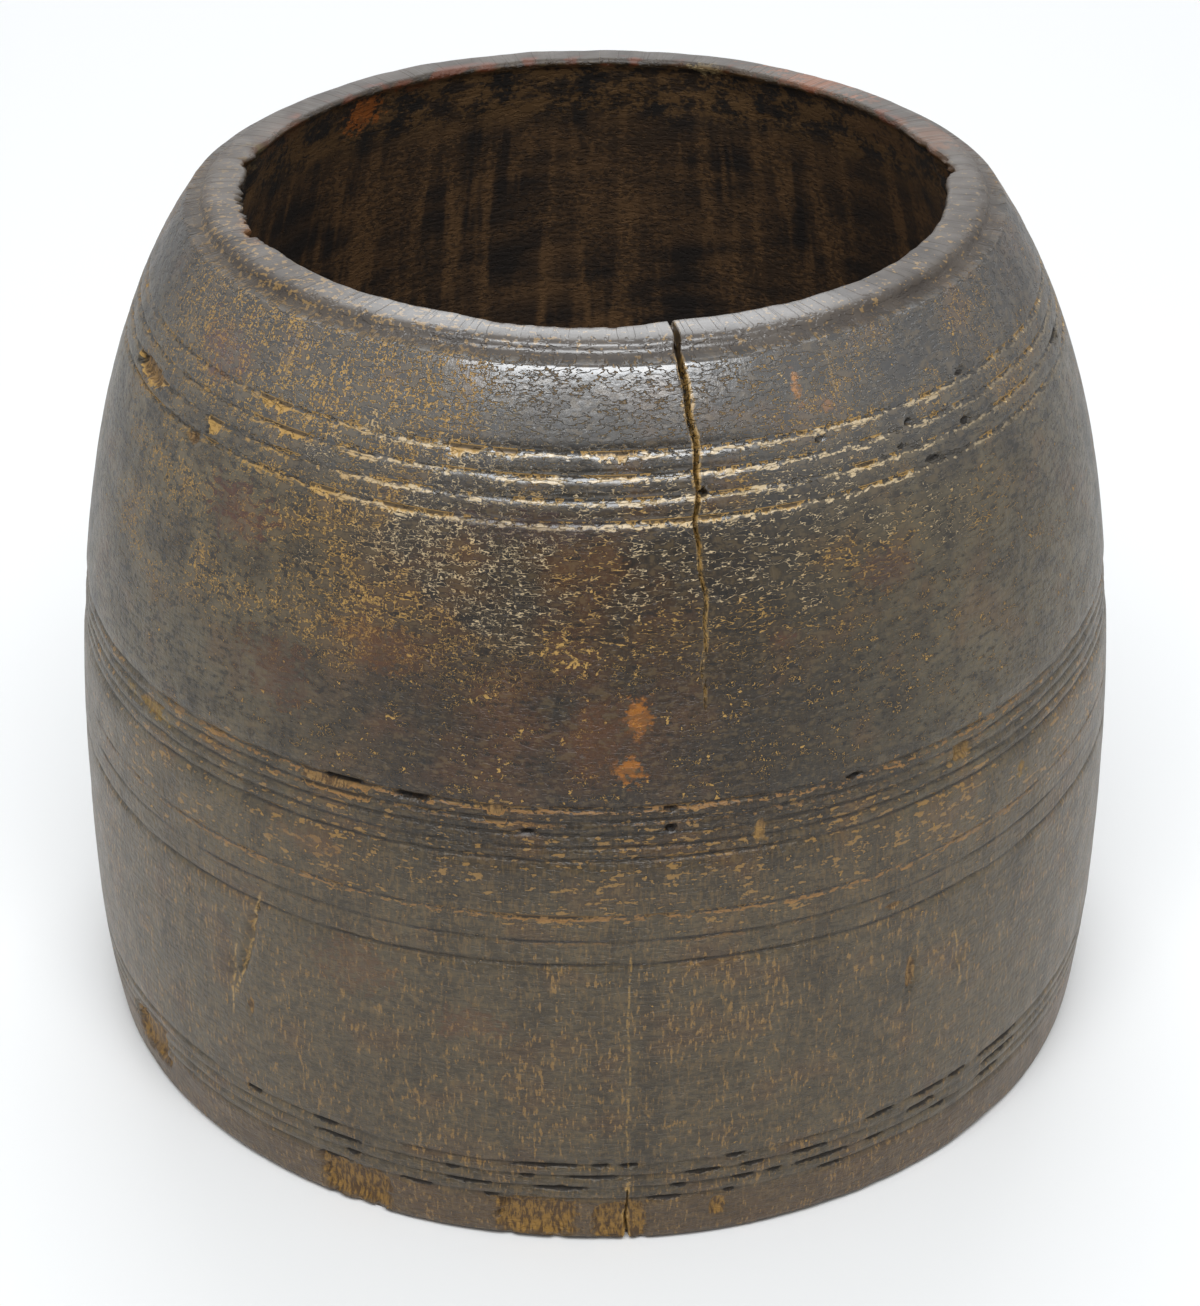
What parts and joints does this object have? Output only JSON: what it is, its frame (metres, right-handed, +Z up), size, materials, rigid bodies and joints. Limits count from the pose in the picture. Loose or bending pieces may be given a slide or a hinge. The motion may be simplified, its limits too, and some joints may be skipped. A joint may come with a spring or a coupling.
{
  "type": "grain measure",
  "caption": "Round wooden grain measure, turned and hollowed from one block, barrel-shaped with bands of turned lines, an open mouth with a rounded lip and a flat foot.",
  "frame": {"origin": "middle of the flat foot, on the surface that the measure stands on", "axes": "+Z up the axis of the turning, out of the mouth; the long drying crack faces -Y"},
  "size_m": [0.18, 0.18, 0.1467],
  "materials": {
    "old_wood": "handled dark patina over ochre wood, satin, crackled on the shoulder and worn through on the turned lines"
  },
  "bodies": {
    "root": {"measure_body": "old_wood"}
  },
  "joints": []
}
